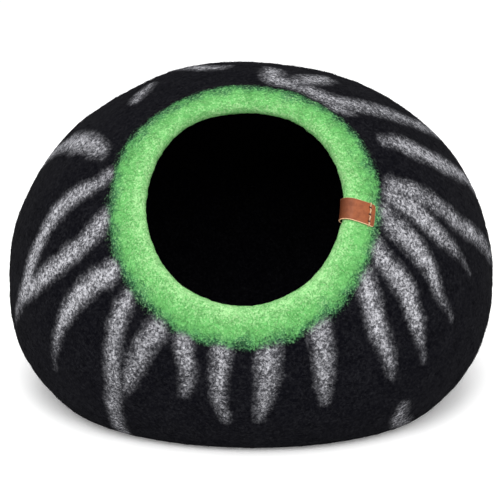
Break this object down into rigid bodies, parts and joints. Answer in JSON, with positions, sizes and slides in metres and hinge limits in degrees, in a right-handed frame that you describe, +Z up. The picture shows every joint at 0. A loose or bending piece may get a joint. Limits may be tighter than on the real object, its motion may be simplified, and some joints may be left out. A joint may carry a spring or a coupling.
{
  "type": "felt cat cave",
  "caption": "Round one-piece wool felt cat cave with an oval mouth, a thick rolled lip and a leather strip folded over the lip.",
  "frame": {"origin": "centre of the flat underside, on the surface that the cave stands on", "axes": "+Z up, +X along the widest side, and the mouth looks towards -Y and up"},
  "size_m": [0.4404, 0.4178, 0.3017],
  "materials": {
    "wool_felt": "wet-felted wool, charcoal with grey streaks and a green band round the mouth",
    "strip_leather": "smooth tan leather with pale cut edges"
  },
  "bodies": {
    "root": {"felt_cave": "wool_felt", "leather_strip": "strip_leather"}
  },
  "joints": []
}
